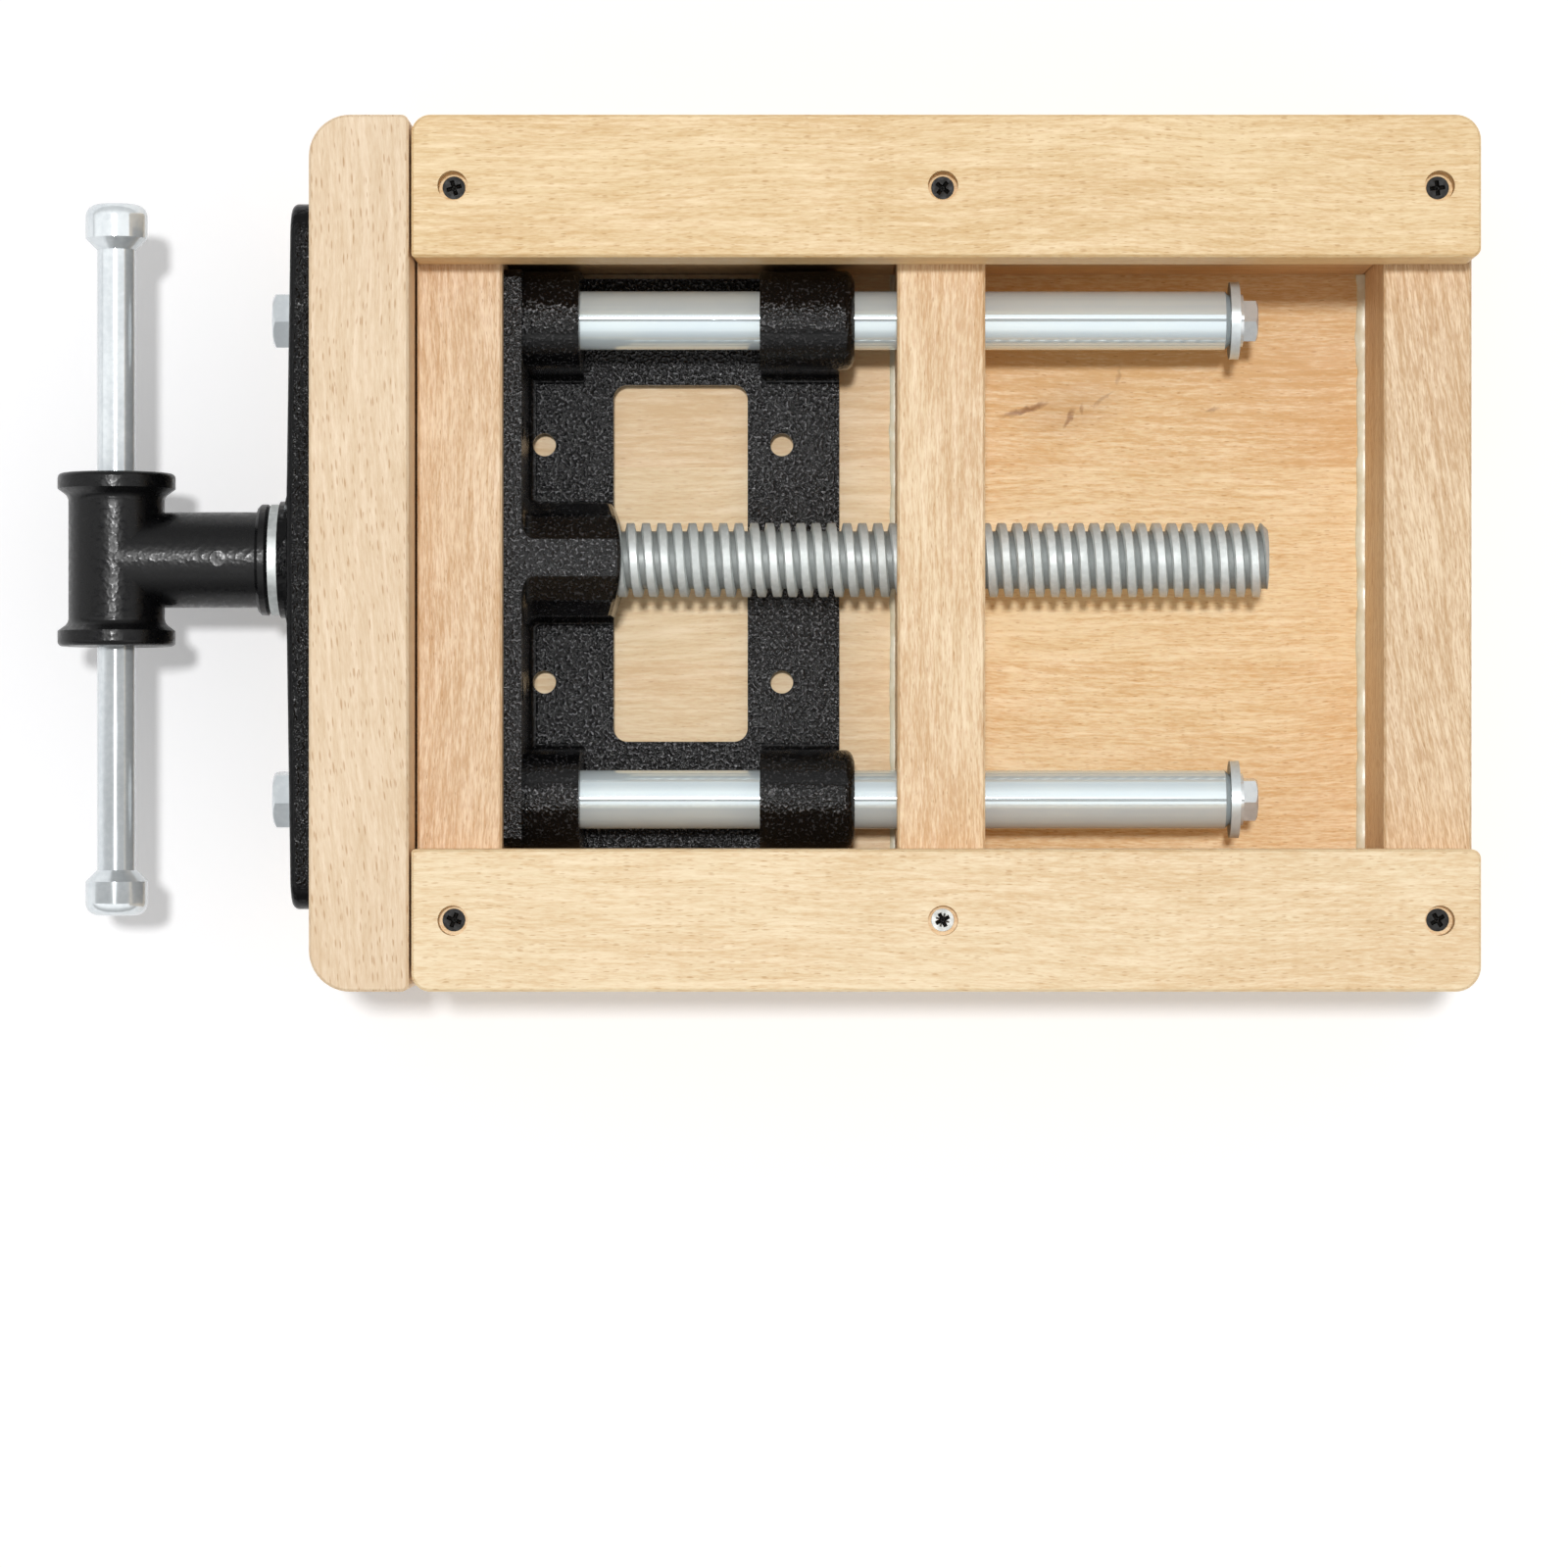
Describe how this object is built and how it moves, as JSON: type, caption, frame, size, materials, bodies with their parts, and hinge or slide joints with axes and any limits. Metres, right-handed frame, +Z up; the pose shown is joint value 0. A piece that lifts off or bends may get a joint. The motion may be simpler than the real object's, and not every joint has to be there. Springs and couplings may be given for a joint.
{
  "type": "woodworking screw vise in a portable box",
  "caption": "Screw vise with a wooden jaw on two steel guide rods, carried by a cast body in a low wooden box; it lies on its work surface, underside up.",
  "frame": {"origin": "middle of the work surface, the flat wooden face that the vise lies on as it is stored here", "axes": "+Z up, from the work surface to the underside with its two foot rails; +X from the moving jaw to the rear of the box, along the screw; +Y across the jaw. The part is stored turned over: in use it stands on its foot rails with -Z up."},
  "size_m": [0.4544, 0.2754, 0.107],
  "materials": {
    "beech_board": "planed beech, lightly oiled",
    "beech_front_rail": "planed beech, lightly oiled",
    "beech_cross_rail": "planed beech, lightly oiled",
    "beech_foot_rail": "planed beech, lightly oiled",
    "beech_jaw": "planed beech, lightly oiled",
    "black_casting": "black textured paint, semi-gloss",
    "chromed_steel": "bright chrome",
    "zinc_steel": "bright zinc",
    "blackened_steel": "black oxide"
  },
  "bodies": {
    "frame": {"work_board": "beech_board", "front_rail": "beech_front_rail", "crossbar": "beech_cross_rail", "rear_rail": "beech_cross_rail", "side_block_front_left": "beech_cross_rail", "side_block_front_right": "beech_cross_rail", "side_block_rear_left": "beech_cross_rail", "side_block_rear_right": "beech_cross_rail", "foot_rail_left": "beech_foot_rail", "foot_rail_right": "beech_foot_rail", "foot_rail_screws": "blackened_steel", "foot_rail_screw_zinc": "zinc_steel", "vise_body": "black_casting", "flange_screws": "blackened_steel"},
    "jaw": {"jaw_block": "beech_jaw", "front_plate": "black_casting", "plate_screws": "blackened_steel", "guide_rod_left": "chromed_steel", "guide_rod_right": "chromed_steel", "plate_bolts": "zinc_steel", "plate_bolt_washers": "zinc_steel", "rod_end_washers": "zinc_steel", "rod_end_bolts": "zinc_steel", "thrust_washer": "zinc_steel", "backing_washer": "zinc_steel"},
    "screw": {"lead_screw": "zinc_steel", "screw_hub": "black_casting", "hub_pin": "blackened_steel", "retaining_ring": "blackened_steel"},
    "handle": {"handle_bar": "chromed_steel", "handle_knob_left": "chromed_steel", "handle_knob_right": "chromed_steel"}
  },
  "joints": [
    {"name": "jaw_slide", "type": "slide", "parent": "frame", "child": "jaw", "axis": [-1, 0, 0], "range_m": [0, 0.12]},
    {"name": "screw_turn", "type": "hinge", "parent": "jaw", "child": "screw", "pos_m": [-0.168, 0, 0.054], "axis": [-1, 0, 0], "range_deg": [0, 8640]},
    {"name": "handle_slide", "type": "slide", "parent": "screw", "child": "handle", "axis": [0, 1, 0], "range_m": [-0.0715, 0.0715]}
  ],
  "couplings": [
    {"joint": "jaw_slide", "follows": "screw_turn", "m_per_rad": 0.00079577}
  ]
}
